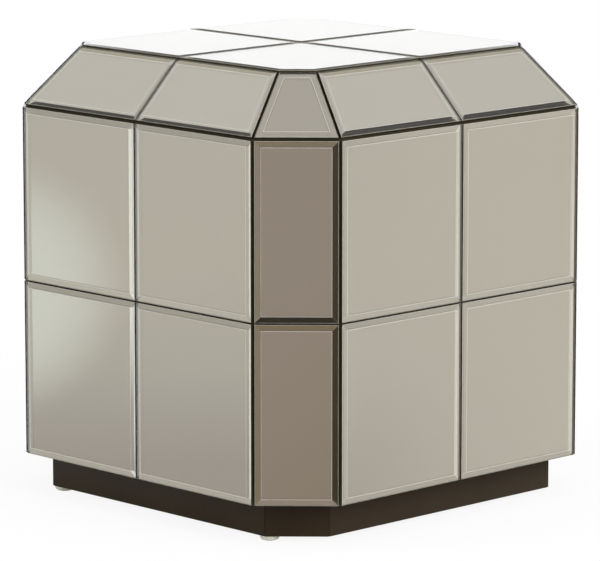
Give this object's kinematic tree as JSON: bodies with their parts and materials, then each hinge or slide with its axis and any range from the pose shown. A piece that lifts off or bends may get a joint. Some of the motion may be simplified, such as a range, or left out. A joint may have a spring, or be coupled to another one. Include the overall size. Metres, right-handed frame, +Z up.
{
  "type": "mirrored side table",
  "caption": "Faceted accent side table in smoked bevelled mirror tiles, with cut corners, a sloping shoulder and a flat top, on a recessed dark plinth with nail-on glides.",
  "frame": {"origin": "centre of the square footprint, on the floor under the glides", "axes": "+Z up; -Y out of the front side, +X out of the right side as the front is faced"},
  "size_m": [0.508, 0.508, 0.51],
  "materials": {
    "smoked_mirror": "polished bronze-grey tinted mirror glass with a ground and polished bevel",
    "carcass_board": "fibreboard painted dark brown, matt",
    "plinth_paint": "fibreboard sprayed espresso brown, satin",
    "glue_block_pine": "sawn pine, unfinished",
    "mounting_tape": "double-sided foam mounting tape",
    "fastener_steel": "zinc plated",
    "glide_plastic": "milky moulded polyethylene"
  },
  "bodies": {
    "root": {"front_lower_left_mirror": "smoked_mirror", "front_lower_right_mirror": "smoked_mirror", "front_upper_left_mirror": "smoked_mirror", "front_upper_right_mirror": "smoked_mirror", "right_lower_left_mirror": "smoked_mirror", "right_lower_right_mirror": "smoked_mirror", "right_upper_left_mirror": "smoked_mirror", "right_upper_right_mirror": "smoked_mirror", "back_lower_left_mirror": "smoked_mirror", "back_lower_right_mirror": "smoked_mirror", "back_upper_left_mirror": "smoked_mirror", "back_upper_right_mirror": "smoked_mirror", "left_lower_left_mirror": "smoked_mirror", "left_lower_right_mirror": "smoked_mirror", "left_upper_left_mirror": "smoked_mirror", "left_upper_right_mirror": "smoked_mirror", "front_right_corner_lower_mirror": "smoked_mirror", "front_right_corner_upper_mirror": "smoked_mirror", "back_right_corner_lower_mirror": "smoked_mirror", "back_right_corner_upper_mirror": "smoked_mirror", "back_left_corner_lower_mirror": "smoked_mirror", "back_left_corner_upper_mirror": "smoked_mirror", "front_left_corner_lower_mirror": "smoked_mirror", "front_left_corner_upper_mirror": "smoked_mirror", "front_shoulder_left_mirror": "smoked_mirror", "front_shoulder_right_mirror": "smoked_mirror", "right_shoulder_left_mirror": "smoked_mirror", "right_shoulder_right_mirror": "smoked_mirror", "back_shoulder_left_mirror": "smoked_mirror", "back_shoulder_right_mirror": "smoked_mirror", "left_shoulder_left_mirror": "smoked_mirror", "left_shoulder_right_mirror": "smoked_mirror", "front_right_shoulder_corner_mirror": "smoked_mirror", "back_right_shoulder_corner_mirror": "smoked_mirror", "back_left_shoulder_corner_mirror": "smoked_mirror", "front_left_shoulder_corner_mirror": "smoked_mirror", "top_front_right_mirror": "smoked_mirror", "top_back_right_mirror": "smoked_mirror", "top_back_left_mirror": "smoked_mirror", "top_front_left_mirror": "smoked_mirror", "front_board": "carcass_board", "right_board": "carcass_board", "back_board": "carcass_board", "left_board": "carcass_board", "corner_boards": "carcass_board", "shoulder_boards": "carcass_board", "shoulder_corner_boards": "carcass_board", "top_board": "carcass_board", "bottom_board": "carcass_board", "plinth_front_board": "plinth_paint", "plinth_right_board": "plinth_paint", "plinth_back_board": "plinth_paint", "plinth_left_board": "plinth_paint", "plinth_corner_boards": "plinth_paint", "corner_battens": "glue_block_pine", "plinth_blocks": "glue_block_pine", "mounting_tape": "mounting_tape", "plinth_screws": "fastener_steel", "glide_nails": "fastener_steel", "glides": "glide_plastic"}
  },
  "joints": []
}
